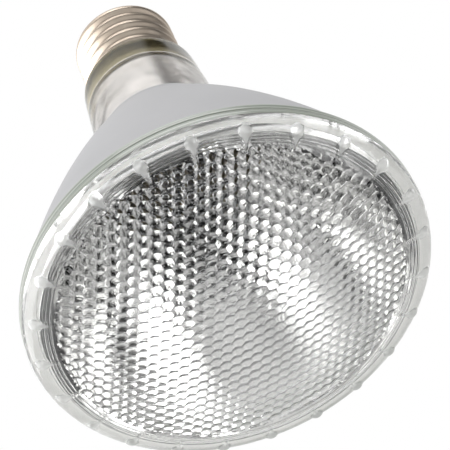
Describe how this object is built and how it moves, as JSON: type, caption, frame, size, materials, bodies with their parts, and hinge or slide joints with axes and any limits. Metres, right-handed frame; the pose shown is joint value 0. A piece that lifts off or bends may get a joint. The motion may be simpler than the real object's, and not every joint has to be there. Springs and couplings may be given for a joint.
{
  "type": "reflector heat lamp",
  "caption": "Reflector heat lamp with a screw cap: long-necked pressed-glass cone, clear domed lens of hexagonal lenslets and a halogen capsule inside.",
  "frame": {"origin": "crown of the lens's dome on the lamp's axis, which is the lowest point", "axes": "+Z along the lamp's axis from the lens to the screw cap, +X through one of the lugs on the lens"},
  "size_m": [0.095, 0.095, 0.1207],
  "materials": {
    "clear_glass": "pressed clear glass",
    "sealant": "cured sealant",
    "reflector_glass": "pressed glass, aluminised inside",
    "nickel_plate": "nickel plate on rolled brass",
    "black_glass": "moulded black glass",
    "contact_brass": "pressed brass",
    "solder": "frozen tin solder",
    "copper_wire": "drawn copper",
    "nickel_wire": "drawn nickel",
    "molybdenum": "rolled molybdenum",
    "tungsten": "drawn tungsten",
    "quartz": "blown quartz"
  },
  "bodies": {
    "root": {"lens": "clear_glass", "lens_seal": "sealant", "reflector": "reflector_glass", "screw_shell": "nickel_plate", "cap_insulator": "black_glass", "centre_contact": "contact_brass", "contact_solder": "solder", "centre_lead": "copper_wire", "side_lead": "copper_wire", "ferrule_left": "contact_brass", "ferrule_right": "contact_brass", "leg_left": "nickel_wire", "leg_right": "nickel_wire", "pin_left": "molybdenum", "pin_right": "molybdenum", "foil_left": "molybdenum", "foil_right": "molybdenum", "filament": "tungsten", "capsule": "quartz"}
  },
  "joints": []
}
